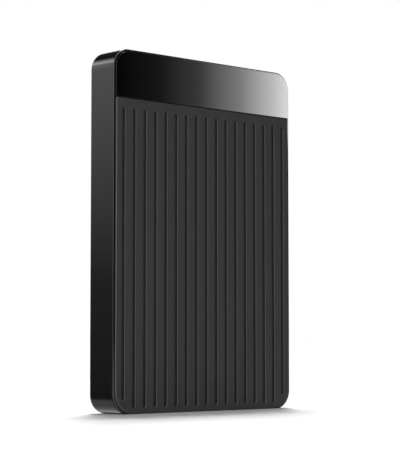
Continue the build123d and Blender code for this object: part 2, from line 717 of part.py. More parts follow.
def side_holes():
    """Blind mounting holes in the two long sides of the casting."""
    level = DRIVE_BACK_Y - SIDE_HOLE_HEIGHT
    drilled = []
    for z in (DRIVE_LOW + SIDE_HOLE_LOWER_INSET, DRIVE_HIGH - SIDE_HOLE_UPPER_INSET):
        for side in (-1, 1):
            start = Plane((side * DRIVE_SIDE, level, z), z_dir=(-side, 0, 0))
            drilled.append(extrude(start * Circle(SIDE_HOLE_RADIUS), amount=SIDE_HOLE_DEPTH))
    return drilled


def drive_base():
    """The cast base: disc well, actuator bay, motor well, and recesses for the board and the plug."""
    casting = slab(drive_view(), RIM_Y, DRIVE_BACK_Y)
    casting += holes(cover_screw_places(), COVER_BOSS_RADIUS, SHEET_Y, RIM_Y + FIT)
    casting -= slab(cavity_view(), RIM_Y, FLOOR_Y)
    casting -= slab(circle(SPINDLE, WELL_RADIUS), FLOOR_Y, WELL_Y)
    casting += slab(washer(SPINDLE, STATOR_ROOT, STATOR_BORE), STATOR_BACK_Y, WELL_Y + FIT)
    below_board = window(-DRIVE_SIDE, DRIVE_SIDE, DRIVE_LOW, BOARD_LOW - SHROUD_WALL)
    pocket = washer(SPINDLE, BACK_POCKET_RADIUS, MOTOR_BOSS_RADIUS) & below_board
    casting -= slab(pocket, DRIVE_BACK_Y - BACK_POCKET_DEPTH, DRIVE_BACK_Y)
    casting -= slab(board_view(BOARD_PLAY), BOARD_RECESS_Y, DRIVE_BACK_Y)
    casting += holes(board_screw_places(), BOARD_BOSS_RADIUS, BOARD_RECESS_Y - FIT, BOARD_Y)
    mouth = window(PLUG_LEFT - PLUG_PLAY, PLUG_RIGHT + PLUG_PLAY, PLUG_LOW, DRIVE_HIGH)
    casting -= slab(mouth, min(DRIVE_Y + PLUG_FRONT, CONNECTOR_Y) - PLUG_PLAY, DRIVE_BACK_Y)
    casting -= holes(cover_screw_places(), SCREW_RADIUS + FIT, SHEET_Y, SHEET_Y + COVER_SCREW_BITE)
    casting -= holes(board_screw_places(), SCREW_RADIUS + FIT, BOARD_Y - BOARD_SCREW_BITE, BOARD_Y)
    casting -= holes([ramp_screw_place()], SCREW_RADIUS + FIT, FLOOR_Y, BOARD_RECESS_Y)
    casting -= side_holes()
    return casting


def drive_cover():
    """The sheet cover, counterbored for its screws."""
    cover = slab(drive_view(-COVER_INSET), DRIVE_Y, SHEET_Y)
    cover -= holes(cover_screw_places(), SCREW_RADIUS + FIT, DRIVE_Y, SHEET_Y)
    return cover - holes(cover_screw_places(), SCREW_HEAD_RADIUS + FIT, DRIVE_Y, DRIVE_Y + COVER_SCREW_HEAD)


def cover_gasket():
    """The seal between the cover and the casting, round the sealed space."""
    return slab(cavity_view(GASKET_INSET + GASKET_WIDTH) - cavity_view(GASKET_INSET), SHEET_Y, RIM_Y)


def cover_screws():
    seat_y = DRIVE_Y + COVER_SCREW_HEAD
    return screws(cover_screw_places(), SCREW_HEAD_RADIUS, DRIVE_Y, seat_y, SHEET_Y + COVER_SCREW_BITE)


def drive_board():
    board = slab(board_view(), BOARD_Y, BOARD_BACK_Y)
    return board - holes(board_screw_places(), SCREW_RADIUS + FIT, BOARD_Y, BOARD_BACK_Y)


def drive_board_screws():
    head_y = BOARD_BACK_Y + SCREW_HEAD
    return screws(board_screw_places(), SCREW_HEAD_RADIUS, head_y, BOARD_BACK_Y, BOARD_Y - BOARD_SCREW_BITE)


def board_chip(x, z, width, length):
    """A chip on the inner face of the drive's board, with its centre at X and Z."""
    view = window(x - width / 2, x + width / 2, z - length / 2, z + length / 2)
    return slab(view, BOARD_Y - CHIP_HEIGHT, BOARD_Y)


# The disc and its motor


def platter():
    return slab(washer(SPINDLE, DISC_RADIUS, DISC_BORE), DISC_Y, DISC_BACK_Y)


def spindle_hub():
    """The rotor: a boss that centres the disc, a flange under it and a skirt round the magnet."""
    hub = slab(circle(SPINDLE, DISC_BORE - FIT), DISC_Y, DISC_BACK_Y)
    hub += slab(circle(SPINDLE, HUB_FLANGE_RADIUS), DISC_BACK_Y, HUB_BACK_Y)
    skirt = washer(SPINDLE, HUB_SKIRT_RADIUS, MAGNET_RING_RADIUS + FIT)
    hub += slab(skirt, HUB_BACK_Y, HUB_BACK_Y + HUB_SKIRT)
    return hub - slab(circle(SPINDLE, SHAFT_RADIUS + SHAFT_SEAT_FIT), DISC_Y, HUB_BACK_Y)


def rotor_magnet():
    ring = washer(SPINDLE, MAGNET_RING_RADIUS, MAGNET_RING_RADIUS - MAGNET_RING_WALL)
    return slab(ring, HUB_BACK_Y, HUB_BACK_Y + MAGNET_RING_LENGTH)


def disc_clamp():
    return slab(washer(SPINDLE, CLAMP_RADIUS, SCREW_RADIUS + FIT), CLAMP_Y, DISC_Y)


def clamp_screw():
    return screws([SPINDLE], CLAMP_HEAD_RADIUS, CLAMP_Y - CLAMP_HEAD, CLAMP_Y, DISC_Y + CLAMP_SCREW_BITE)


def spindle_shaft():
    shaft = slab(circle(SPINDLE, SHAFT_RADIUS), DISC_Y, WELL_Y - SHAFT_FOOT_GAP)
    return shaft - slab(circle(SPINDLE, SCREW_RADIUS + FIT), DISC_Y, DISC_Y + CLAMP_SCREW_BITE)


def bearing_sleeve():
    bore = SHAFT_RADIUS + SHAFT_RUNNING_FIT
    return slab(washer(SPINDLE, SLEEVE_RADIUS, bore), HUB_BACK_Y + SLEEVE_TOP_GAP, WELL_Y)


def stator_angles():
    return [index * 360 / STATOR_TEETH for index in range(STATOR_TEETH)]


def stator_core():
    """Stacked steel with a tooth and a pole shoe for each winding."""
    view = washer(SPINDLE, STATOR_ROOT, STATOR_BORE)
    stem_start = (STATOR_BORE + STATOR_ROOT) / 2
    stem = window(stem_start, STATOR_RADIUS - TOOTH_SHOE / 2, -TOOTH_WIDTH / 2, TOOTH_WIDTH / 2)
    shoe_inner = STATOR_RADIUS - TOOTH_SHOE
    shoe = sector((0, 0), shoe_inner, STATOR_RADIUS, -TOOTH_SHOE_ANGLE / 2, TOOTH_SHOE_ANGLE / 2)
    for angle in stator_angles():
        view += Pos(*SPINDLE) * Rot(0, 0, angle) * (stem + shoe)
    return slab(view, STATOR_Y, STATOR_BACK_Y)


def stator_coils():
    """A winding round the stem of each tooth."""
    inner = STATOR_ROOT + COIL_END_GAP
    outer = STATOR_RADIUS - TOOTH_SHOE - COIL_END_GAP
    half = TOOTH_WIDTH / 2 + FIT
    windings = []
    for angle in stator_angles():
        place = Pos(*SPINDLE) * Rot(0, 0, angle)
        body = window(inner, outer, -half - COIL_WALL, half + COIL_WALL)
        stem = window(inner, outer, -half, half)
        winding = slab(place * body, STATOR_Y - COIL_WALL, STATOR_BACK_Y + COIL_WALL)
        windings.append(winding - slab(place * stem, STATOR_Y - FIT, STATOR_BACK_Y + FIT))
    return Compound(windings)


# The actuator


def along_arm(view):
    """Turn a view drawn with the pivot at the origin and the arm along X to its parked place."""
    return Pos(*PIVOT) * Rot(0, 0, ARM_ANGLE) * view


def arm_view():
    """One arm, tapering from the ring to its tip, with a lightening hole."""
    tip = (ARM_LENGTH, 0)
    tangent = math.degrees(math.acos((ARM_RING_RADIUS - ARM_TIP_RADIUS) / ARM_LENGTH))
    root_corners = [polar((0, 0), ARM_RING_RADIUS, angle) for angle in (tangent, -tangent)]
    tip_corners = [polar(tip, ARM_TIP_RADIUS, angle) for angle in (-tangent, tangent)]
    web = make_face(Polyline(*root_corners, *tip_corners, close=True))
    outline = Circle(ARM_RING_RADIUS) + web + circle(tip, ARM_TIP_RADIUS)
    return outline - circle((ARM_HOLE_PLACE, 0), ARM_HOLE_RADIUS)


def actuator_arm():
    """The arm block: a ring round the pivot, an arm each side of the disc, and a fork for the coil."""
    bore = PIVOT_SLEEVE_RADIUS + FIT
    block = slab(along_arm(Circle(ARM_RING_RADIUS)), ARM_Y, ARM_BACK_Y)
    for y_front in (ARM_Y, LOWER_ARM_Y):
        block += slab(along_arm(arm_view()), y_front, y_front + ARM_THICKNESS)
    fork = sector((0, 0), bore, COIL_OUTER, 180 - FORK_HALF_ANGLE, 180 + FORK_HALF_ANGLE)
    coil_half = COIL_HALF_ANGLE + FIT
    fork -= sector((0, 0), COIL_INNER - FIT, COIL_OUTER + FIT, 180 - coil_half, 180 + coil_half)
    block += slab(along_arm(fork), FORK_Y, FORK_BACK_Y)
    return block - slab(along_arm(Circle(bore)), ARM_Y, ARM_BACK_Y)


def voice_coil():
    """A flat winding, wedge-shaped like the magnets it swings between."""
    outer = sector((0, 0), COIL_INNER, COIL_OUTER, 180 - COIL_HALF_ANGLE, 180 + COIL_HALF_ANGLE)
    window_half = COIL_HALF_ANGLE - COIL_STRAND_ANGLE
    inner_reach = COIL_INNER + COIL_STRAND
    outer_reach = COIL_OUTER - COIL_STRAND
    inner = sector((0, 0), inner_reach, outer_reach, 180 - window_half, 180 + window_half)
    return slab(along_arm(outer - inner), COIL_Y, COIL_BACK_Y)


def pivot_shaft():
    """The fixed post of the pivot, on a foot that stands on the casting's floor."""
    post = slab(circle(PIVOT, PIVOT_RADIUS), SHEET_Y, FLOOR_Y)
    return post + slab(circle(PIVOT, PIVOT_FOOT_RADIUS), FLOOR_Y - PIVOT_FOOT, FLOOR_Y)


def pivot_bearings():
    """Two ball bearings, one at each end of the pivot sleeve, as closed rings."""
    ring = washer(PIVOT, BEARING_RADIUS, PIVOT_RADIUS + SHAFT_RUNNING_FIT)
    first = slab(ring, ARM_Y, ARM_Y + BEARING_WIDTH)
    second = slab(ring, ARM_BACK_Y - BEARING_WIDTH, ARM_BACK_Y)
    return Compound([first, second])


def pivot_sleeve():
    return slab(washer(PIVOT, PIVOT_SLEEVE_RADIUS, BEARING_RADIUS + FIT), ARM_Y, ARM_BACK_Y)


def suspension(y_front):
    """A thin sprung sheet on the arm's tip, ending in a lift tab."""
    start = ARM_LENGTH - SUSPENSION_OVERLAP
    end = HEAD_REACH + HEAD_END
    root = SUSPENSION_ROOT_WIDTH / 2
    tip = SUSPENSION_TIP_WIDTH / 2
    beam = make_face(Polyline((start, -root), (end, -tip), (end, tip), (start, root), close=True))
    tab = window(end - tip, end + LIFT_TAB_LENGTH, -LIFT_TAB_WIDTH / 2, LIFT_TAB_WIDTH / 2)
    return slab(along_arm(beam + tab), y_front, y_front + SUSPENSION_SHEET)


def slider(y_front, y_back):
    """A read and write head, flying just off the disc."""
    half = SLIDER_WIDTH / 2
    view = window(HEAD_REACH - SLIDER_LENGTH / 2, HEAD_REACH + SLIDER_LENGTH / 2, -half, half)
    return slab(along_arm(view), y_front, y_back)


# The voice coil motor's fixed side


def post_places():
    return [polar(PIVOT, YOKE_OUTER - POST_INSET, angle) for angle in POST_ANGLES]


def yoke(y_front, y_back):
    return slab(sector(PIVOT, YOKE_INNER, YOKE_OUTER, *YOKE_ANGLES), y_front, y_back)


def magnet(y_front):
    inner = YOKE_INNER + MAGNET_MARGIN
    outer = YOKE_OUTER - MAGNET_MARGIN
    return slab(sector(PIVOT, inner, outer, *MAGNET_ANGLES), y_front, y_front + MAGNET_THICKNESS)


def yoke_posts():
    return Compound(holes(post_places(), POST_RADIUS, UPPER_YOKE_BACK_Y, LOWER_YOKE_Y))


def crash_stops():
    """Rubber rings round the posts, where the fork comes to rest."""
    rings = [washer(place, STOP_RADIUS, POST_RADIUS + FIT) for place in post_places()]
    return Compound([slab(ring, FORK_Y, FORK_BACK_Y) for ring in rings])


# Smaller pieces in the actuator bay


def parking_ramp():
    """The moulded ramp: a fin between the lift tabs, on a block screwed to the floor."""
    fin = sector(PIVOT, RAMP_FIN_START, RAMP_FIN_END + FIT, *RAMP_ANGLES)
    block = sector(PIVOT, RAMP_FIN_END, RAMP_END, *RAMP_ANGLES)
    ramp = slab(fin, UPPER_TAB_BACK_Y + RAMP_TAB_GAP, LOWER_TAB_Y - RAMP_TAB_GAP)
    ramp += slab(block, UPPER_TAB_BACK_Y + RAMP_TAB_GAP, FLOOR_Y)
    return ramp - holes([ramp_screw_place()], SCREW_RADIUS + FIT, RIM_Y, FLOOR_Y)


def ramp_screw():
    seat_y = UPPER_TAB_BACK_Y + RAMP_TAB_GAP
    tip_y = BOARD_RECESS_Y - FIT
    return screws([ramp_screw_place()], SCREW_HEAD_RADIUS, seat_y - SCREW_HEAD, seat_y, tip_y)


def recirculation_filter():
    """A small air filter against the side of the bay, below the magnets."""
    left = -BAY_SIDE + CORNER_ROOM
    low = BAY_LOW + CORNER_ROOM
    return slab(window(left, left + FILTER_WIDTH, low, low + FILTER_LENGTH), DRIVE_Y + FILTER_TOP, FLOOR_Y)


def breather_filter():
    """The breather's filter block in the free corner of the bay."""
    right = BAY_SIDE - CORNER_ROOM
    high = BAY_HIGH - CORNER_ROOM
    view = window(right - BREATHER_WIDTH, right, high - BREATHER_LENGTH, high)
    return slab(view, DRIVE_Y + BREATHER_TOP, FLOOR_Y)


def bracket_corner():
    """The lower left corner of the lead's bracket."""
    return (PIVOT[0] + BRACKET_PLACE[0], PIVOT[1] + BRACKET_PLACE[1])


def flex_bracket():
    x, z = bracket_corner()
    return slab(window(x, x + BRACKET_WIDTH, z, z + BRACKET_LENGTH), DRIVE_Y + BRACKET_TOP, FLOOR_Y)


def flex_cable():
    """The heads' flat lead, on edge, in one loop from the arm's ring to its bracket."""
    x, z = bracket_corner()
    gap = LEAD_GAP + LEAD_THICKNESS / 2
    start = polar(PIVOT, ARM_RING_RADIUS + gap, LEAD_ANGLE)
    end = (x - LEAD_THICKNESS, z + BRACKET_LENGTH / 2)
    loop = TangentArc(end, start, tangent=(-1, 0))
    lead = trace(loop, LEAD_THICKNESS)
    level = (FORK_Y + FORK_BACK_Y) / 2
    return slab(lead, level - LEAD_HEIGHT / 2, level + LEAD_HEIGHT / 2)


BOARD_MIDDLE = (BOARD_LOW + BOARD_HIGH) / 2

PIECES = {
    "rear_shell": rear_shell(),
    "front_cover": front_cover(),
    "gloss_band": gloss_band(),
    "band_adhesive": band_adhesive(),
    "bumper_lower_left": bumper(-1, upper=False),
    "bumper_lower_right": bumper(1, upper=False),
    "bumper_upper_left": bumper(-1, upper=True),
    "bumper_upper_right": bumper(1, upper=True),
    "front_pad": front_pad(),
    "rear_pad": rear_pad(),
    "bridge_board": bridge_board(),
    "bridge_screws": bridge_screws(),
    "bridge_chip": bridge_chip(),
    "board_connector": board_connector(),
    "socket_shell": socket_shell(),
    "socket_tongue": socket_tongue(),
    "activity_led": activity_led(),
    "light_pipe": light_pipe(),
    "drive_base": drive_base(),
    "drive_cover": drive_cover(),
    "cover_gasket": cover_gasket(),
    "cover_screws": cover_screws(),
    "drive_board": drive_board(),
    "drive_board_screws": drive_board_screws(),
    "drive_plug": drive_plug(),
    "controller_chip": board_chip(-BOARD_SIDE / 2, BOARD_MIDDLE, CONTROLLER_SIZE, CONTROLLER_SIZE),
    "buffer_chip": board_chip(0, BOARD_MIDDLE, BUFFER_WIDTH, BUFFER_LENGTH),
    "motor_chip": board_chip(BOARD_SIDE / 2, BOARD_MIDDLE, MOTOR_CHIP_SIZE, MOTOR_CHIP_SIZE),
    "platter": platter(),
    "spindle_hub": spindle_hub(),
    "rotor_magnet": rotor_magnet(),
    "disc_clamp": disc_clamp(),
    "clamp_screw": clamp_screw(),
    "spindle_shaft": spindle_shaft(),
    "bearing_sleeve": bearing_sleeve(),
    "stator_core": stator_core(),
    "stator_coils": stator_coils(),
    "actuator_arm": actuator_arm(),
    "voice_coil": voice_coil(),
    "pivot_shaft": pivot_shaft(),
    "pivot_bearings": pivot_bearings(),
    "pivot_sleeve": pivot_sleeve(),
    "suspension_upper": suspension(UPPER_ARM_BACK_Y),
    "suspension_lower": suspension(LOWER_TAB_Y),
    "slider_upper": slider(UPPER_TAB_BACK_Y, DISC_Y - FLYING_GAP),
    "slider_lower": slider(DISC_BACK_Y + FLYING_GAP, LOWER_TAB_Y),
    "yoke_upper": yoke(UPPER_YOKE_BACK_Y - YOKE_THICKNESS, UPPER_YOKE_BACK_Y),
    "yoke_lower": yoke(LOWER_YOKE_Y, FLOOR_Y),
    "magnet_upper": magnet(UPPER_YOKE_BACK_Y),
    "magnet_lower": magnet(LOWER_MAGNET_Y),
    "yoke_posts": yoke_posts(),
    "crash_stops": crash_stops(),
    "parking_ramp": parking_ramp(),
    "ramp_screw": ramp_screw(),
    "recirculation_filter": recirculation_filter(),
    "breather_filter": breather_filter(),
    "flex_bracket": flex_bracket(),
    "flex_cable": flex_cable(),
}

os.makedirs("parts", exist_ok=True)
for name, piece in PIECES.items():
    export_step(piece, f"parts/{name}.step")
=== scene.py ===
import json
import math
from functools import partial

import bpy
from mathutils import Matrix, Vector


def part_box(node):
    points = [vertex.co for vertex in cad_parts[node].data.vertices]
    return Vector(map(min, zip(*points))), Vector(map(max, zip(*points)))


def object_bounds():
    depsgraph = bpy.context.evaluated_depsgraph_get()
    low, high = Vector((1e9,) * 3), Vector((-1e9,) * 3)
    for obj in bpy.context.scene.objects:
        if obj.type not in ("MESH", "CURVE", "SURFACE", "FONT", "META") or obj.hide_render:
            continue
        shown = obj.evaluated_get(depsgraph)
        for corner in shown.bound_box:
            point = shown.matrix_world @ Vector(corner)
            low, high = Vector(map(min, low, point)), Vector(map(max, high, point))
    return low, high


# A slim portable hard drive standing on its plain short end, in a white studio.
# Everything is in metres, in the frame of the CAD model: X is the width, -Y the ribbed front and Z is up.

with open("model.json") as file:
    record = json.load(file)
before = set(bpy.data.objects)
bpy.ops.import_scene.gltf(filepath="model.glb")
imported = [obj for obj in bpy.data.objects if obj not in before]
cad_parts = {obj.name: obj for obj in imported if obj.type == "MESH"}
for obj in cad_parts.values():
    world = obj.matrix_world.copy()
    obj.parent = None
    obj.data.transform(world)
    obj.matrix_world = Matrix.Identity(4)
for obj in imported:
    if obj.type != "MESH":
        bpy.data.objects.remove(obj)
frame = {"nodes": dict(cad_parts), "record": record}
cad_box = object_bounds()
nodes = frame["nodes"]
MM = 0.001

# The camera, from the photograph's perspective
YAW = math.radians(42.303)
PITCH = math.radians(4.096)
CAMERA_DISTANCE = 524.35 * MM
CAMERA_SHIFT = 2.05 * MM
CAMERA_HEIGHT = 23.53 * MM
LENS = 127.16
SENSOR = 36.0

# Places on the model that the materials and the light follow
FRONT_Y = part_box("front_cover")[0].y
BAND_LOW, BAND_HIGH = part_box("gloss_band")
CASE_LOW, CASE_HIGH = cad_box
DISC_CENTRE = sum(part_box("platter"), Vector()) / 2
TONGUE_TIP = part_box("socket_tongue")[1].z

# What the plastics share, and the span that most of a noise lies in
PLASTIC_IOR = 1.5
NOISE_SPAN = (0.3, 0.7)

# How squarely a wall of the case faces an end or the back where its satin starts, and where it is full
SATIN_FACING = (0.75, 0.97)

# Depths behind the front where the painted highlight on the edges and the painted shade on the groove floors
# start, and where they are full
PAINTED_EDGE_HIGHLIGHT = (0.02 * MM, 0.08 * MM)
PAINTED_FLOOR_SHADE = (0.2 * MM, 0.38 * MM)

# Distances below the band where the painted shade line under it starts, and where it is full
PAINTED_SEAM_SHADE = (0.5 * MM, 0.35 * MM)

# Gold contacts along the tongues of the data socket. Their root and tip are depths below the tongues' tip.
# Their edge is in shares of the pitch, from the middle of a gap.
CONTACT_PITCH = 0.65 * MM
CONTACT_EDGE = (0.2, 0.25)
CONTACT_ROOT = 4.0 * MM
CONTACT_TIP = 0.4 * MM
CONTACT_BLUR = 0.1 * MM

GOLD = (0.75, 0.5, 0.18, 1.0)
TRACK_COPPER = (0.62, 0.3, 0.12, 1.0)

# Lamps. Each back lamp has its turn from the view, in degrees, and the slope at which its light falls.
AMBIENT = 0.27
BACK_LAMPS = [(-12.0, 3.4), (0.0, 1.8), (12.0, 3.4)]
BACK_STRENGTH = 2.8
BACK_SPREAD = math.radians(10.0)
LEFT_BOX_PLACE = (-0.9, -0.22, 0.06)
LEFT_BOX_WIDTH = 0.3
LEFT_BOX_HEIGHT = 0.1
LEFT_BOX_WATTS = 8.8

# The floor
FLOOR_REACH = 40.0
FLOOR_COLOUR = (0.95, 0.95, 0.95, 1.0)

# Studio cards that only gloss sees. Levels are places along a card, with its glow at each.

# The card on the floor by the left wall: the places across its two ends, and how much of it is there at each
LEFT_WALL = CASE_LOW.x
FLAG_RISE = 0.3 * MM
FLAG_NEAR = LEFT_WALL + 3.8 * MM
FLAG_FAR = LEFT_WALL - 221 * MM
FLAG_NEAR_PLACES = [-22 * MM, -12 * MM, 9 * MM, 19 * MM]
FLAG_FAR_PLACES = [40 * MM, 130 * MM, 330 * MM, 420 * MM]
FLAG_COVER = [0.0, 1.0, 1.0, 0.0]
FLAG_LEVELS = [(FLAG_FAR, 0.06), (LEFT_WALL - 13 * MM, 0.06), (LEFT_WALL - 7 * MM, 0.25),
               (LEFT_WALL - 3.5 * MM, 0.65), (LEFT_WALL, 0.45), (LEFT_WALL + 2 * MM, 0.65), (FLAG_NEAR, 1.3)]

# The card overhead
TOP_CARD_HEIGHT = 0.7
TOP_CARD_LEFT, TOP_CARD_RIGHT = -0.5, 0.3
TOP_CARD_FRONT, TOP_CARD_BACK = -0.6, 0.0
TOP_CARD_LEVEL = 4.5

# The card that the gloss band mirrors
BAND_VIEW_RISE = math.radians(9.1)
BAND_CARD_DISTANCE = 1.5
BAND_CARD_HEIGHT = 0.14
BAND_CARD_LEVELS = [(-0.6, 0.0), (-0.11, 0.01), (-0.053, 0.15), (-0.002, 0.8), (0.05, 3.8), (0.09, 9.4),
                    (0.11, 13.5), (0.13, 14.5)]

# Curved walls round the object, between two directions in degrees from the back towards the left
SWEEP_STEPS = 48
SWEEP_FLOOR_GAP = 0.5 * MM
DARK_LEVELS = [(0.0, 0.03), (0.6, 0.03)]
LEFT_LEVELS = [(0.0, 0.08), (0.05, 0.17), (0.12, 0.85), (0.17, 1.38), (0.205, 1.6), (0.235, 4.0), (0.28, 0.9),
               (0.305, 0.1), (0.6, 0.05)]
RIM_LEVELS = [(0.0, 1.0), (0.07, 2.0), (0.14, 2.6), (0.3, 2.6)]
LEFT_SWEEP = {"radius": 0.25, "first": 20.0, "last": 100.0, "top": 0.6, "levels": LEFT_LEVELS}
RIM_SWEEP = {"radius": 0.25, "first": 100.0, "last": 160.0, "top": 0.3, "levels": RIM_LEVELS}
FRONT_FLAG = {"radius": 1.6, "first": 100.0, "last": 290.0, "top": 1.6, "levels": DARK_LEVELS}
BACK_FLAG = {"radius": 1.6, "first": -70.0, "last": 20.0, "top": 1.6, "levels": DARK_LEVELS}


class Surface:
    """A material with one Principled shader, and short calls for the nodes that feed it."""

    def __init__(self, name, **constants):
        self.material = bpy.data.materials.new(name)
        self.material.use_nodes = True
        self.tree = self.material.node_tree
        self.shader = self.tree.nodes["Principled BSDF"]
        for socket, value in constants.items():
            self.shader.inputs[socket.replace("_", " ")].default_value = value

    def node(self, kind, settings=None, **inputs):
        """Add a node, set its options, and give each named input a value or a link.

        A name such as _2 stands for the input with that number.
        """
        made = self.tree.nodes.new("ShaderNode" + kind)
        for option, value in (settings or {}).items():
            setattr(made, option, value)
        for socket, value in inputs.items():
            number = socket[1:]
            target = made.inputs[int(number) if number.isdigit() else socket.replace("_", " ")]
            if isinstance(value, bpy.types.NodeSocket):
                self.tree.links.new(value, target)
            else:
                target.default_value = value
        return made

    def feed(self, socket, source):
        """Link a source to an input of the shader."""
        self.tree.links.new(source, self.shader.inputs[socket])

    def position(self, scale=(1.0, 1.0, 1.0), shift=(0.0, 0.0, 0.0), turn=(0.0, 0.0, 0.0)):
        """The place on the model, scaled along each axis, shifted or turned."""
        place = self.node("TexCoord").outputs["Object"]
        mapping = self.node("Mapping", Vector=place, Scale=scale, Location=shift, Rotation=turn)
        return mapping.outputs["Vector"]

    def axis(self, name):
        """The place on the model along one axis."""
        place = self.node("TexCoord").outputs["Object"]
        return self.node("SeparateXYZ", Vector=place).outputs[name]

    def noise(self, size, detail=2.0, squeeze=(1.0, 1.0, 1.0), roughness=0.5):
        """Noise with features of about a size in metres, longer along an axis that is squeezed below 1."""
        place = self.position(squeeze)
        made = self.node("TexNoise", Vector=place, Scale=1.0 / size, Detail=detail, Roughness=roughness)
        return made.outputs["Fac"]

    def cells(self, size):
        """The distance to the nearest of points about a size in metres apart, as a share of that size."""
        return self.node("TexVoronoi", Vector=self.position(), Scale=1.0 / size).outputs["Distance"]

    def wave(self, settings, span, place=None, distortion=0.0):
        """Bands or rings, about three to a span in metres."""
        inputs = {"Vector": place or self.position(), "Scale": 1.0 / span, "Distortion": distortion}
        return self.node("TexWave", settings, **inputs).outputs["Fac"]

    def remap(self, source, low, high, start=0.0, end=1.0, smooth=False):
        """Turn the span start..end of a value into low..high."""
        options = {"clamp": True, "interpolation_type": "SMOOTHSTEP" if smooth else "LINEAR"}
        inputs = {"Value": source, "From_Min": start, "From_Max": end, "To_Min": low, "To_Max": high}
        return self.node("MapRange", options, **inputs).outputs["Result"]

    def vary(self, noise, low, high):
        """Turn most of a noise into low..high."""
        return self.remap(noise, low, high, *NOISE_SPAN)

    def mask(self, source, start, end, smooth=False):
        """0 up to the start and 1 from the end on."""
        return self.remap(source, 0.0, 1.0, start, end, smooth)

    def math(self, operation, *values):
        """Work out a sum with values, each a number or a link."""
        inputs = {f"_{index}": value for index, value in enumerate(values)}
        return self.node("Math", {"operation": operation}, **inputs).outputs["Value"]

    def mix(self, factor, first, second):
        """Mix two colours, each a colour or a link."""
        return self.node("Mix", {"data_type": "RGBA"}, _0=factor, _6=first, _7=second).outputs[2]

    def blend(self, factor, first, second):
        """Mix two values, each a number or a link."""
        return self.node("Mix", {"data_type": "FLOAT"}, _0=factor, _2=first, _3=second).outputs[0]

    def tint(self, factor, colour, spread):
        """A colour that wanders darker and paler by a share of itself."""
        return self.mix(factor, shade(colour, 1.0 - spread), shade(colour, 1.0 + spread))

    def bump(self, height, depth, strength):
        """Raise the surface by a height from 0 to 1, times a depth in metres."""
        made = self.node("Bump", Height=height, Distance=depth, Strength=strength)
        self.feed("Normal", made.outputs["Normal"])


def shade(colour, amount):
    """A darker or paler copy of a colour, opaque."""
    return (*(part * amount for part in colour[:3]), 1.0)


# Plastics


def case_plastic(name, colour):
    """Gloss black sides with a softly uneven polish, and a satin back and end walls with a fine grain."""
    made = Surface(name, IOR=PLASTIC_IOR)
    grain = made.noise(0.35 * MM, detail=3.0)
    cloud = made.noise(22 * MM, detail=3.0)
    polish = made.vary(cloud, 0.07, 0.11)
    satin = made.vary(grain, 0.46, 0.54)
    facing = made.node("SeparateXYZ", Vector=made.node("TexCoord").outputs["Normal"])
    to_end = made.math("ABSOLUTE", facing.outputs["Z"])
    to_end_or_back = made.math("MAXIMUM", to_end, facing.outputs["Y"])
    dull_wall = made.mask(to_end_or_back, *SATIN_FACING, smooth=True)
    relief = made.math("MULTIPLY", grain, made.remap(dull_wall, 0.1, 1.0))
    made.feed("Base Color", made.tint(cloud, colour, spread=0.12))
    made.feed("Roughness", made.blend(dull_wall, polish, satin))
    made.bump(relief, depth=0.008 * MM, strength=0.5)
    return made.material


def ribbed_plastic(name, colour):
    """Fine-grained dark cover, streaked along its ribs, with a painted highlight on its edges, painted shade
    on the groove floors and a painted shade line under the band.
    """
    made = Surface(name, IOR=PLASTIC_IOR, Specular_IOR_Level=0.3)
    grain = made.noise(0.22 * MM, detail=4.0, roughness=0.6)
    streak = made.noise(5.0 * MM, detail=2.0, squeeze=(1.0, 1.0, 0.06))
    depth = made.axis("Y")
    # Painted highlight: the front edges of the cover and of its grooves are painted paler.
    edge = made.mask(depth, *(FRONT_Y + step for step in PAINTED_EDGE_HIGHLIGHT), smooth=True)
    # Painted shade: the floors of the grooves are painted darker.
    groove = made.mask(depth, *(FRONT_Y + step for step in PAINTED_FLOOR_SHADE), smooth=True)
    # Painted shade: a dark line is painted just under the band.
    seam = made.mask(made.axis("Z"), *(BAND_LOW.z - step for step in PAINTED_SEAM_SHADE))
    body = made.tint(made.vary(streak, 0.0, 1.0), colour, spread=0.1)
    speck = made.remap(grain, 0.0, 0.35, start=0.45, end=0.75)
    speckled = made.mix(speck, body, shade(colour, 1.5))
    edge_highlighted = made.mix(edge, speckled, shade(colour, 1.75))
    floor_shaded = made.mix(groove, edge_highlighted, shade(colour, 0.4))
    made.feed("Base Color", made.mix(seam, floor_shaded, shade(colour, 0.3)))
    made.feed("Roughness", made.vary(grain, 0.5, 0.62))
    made.bump(grain, depth=0.02 * MM, strength=0.6)
    return made.material


def band_gloss(name, colour):
    """Piano black, with a trace of ripple and hairline polishing marks."""
    made = Surface(name, IOR=PLASTIC_IOR)
    marks = made.noise(1.2 * MM, detail=2.0, squeeze=(0.05, 1.0, 1.0))
    ripple = made.noise(9.0 * MM, detail=1.0)
    made.feed("Base Color", made.tint(marks, colour, spread=0.2))
    made.feed("Roughness", made.remap(marks, 0.02, 0.05, start=0.35, end=0.75))
    made.bump(ripple, depth=0.003 * MM, strength=0.3)
    return made.material


def dull_plastic(name, colour, grain_size, roughness):
    """Plain moulded plastic with an even grain."""
    made = Surface(name, IOR=PLASTIC_IOR)
    grain = made.noise(grain_size, detail=3.0)
    cloud = made.noise(6.0 * MM, detail=2.0)
    made.feed("Base Color", made.tint(cloud, colour, spread=0.15))
    made.feed("Roughness", made.vary(grain, roughness - 0.06, roughness + 0.06))
    made.bump(grain, depth=0.01 * MM, strength=0.5)
    return made.material


def rubber(name, colour):
    """Soft rubber or adhesive with a trace of dust."""
    made = Surface(name, IOR=PLASTIC_IOR, Specular_IOR_Level=0.25)
    dust = made.noise(1.5 * MM, detail=4.0)
    grain = made.noise(0.15 * MM, detail=2.0)
    made.feed("Base Color", made.tint(dust, colour, spread=0.3))
    made.feed("Roughness", made.vary(dust, 0.7, 0.88))
    made.bump(grain, depth=0.015 * MM, strength=0.6)
    return made.material


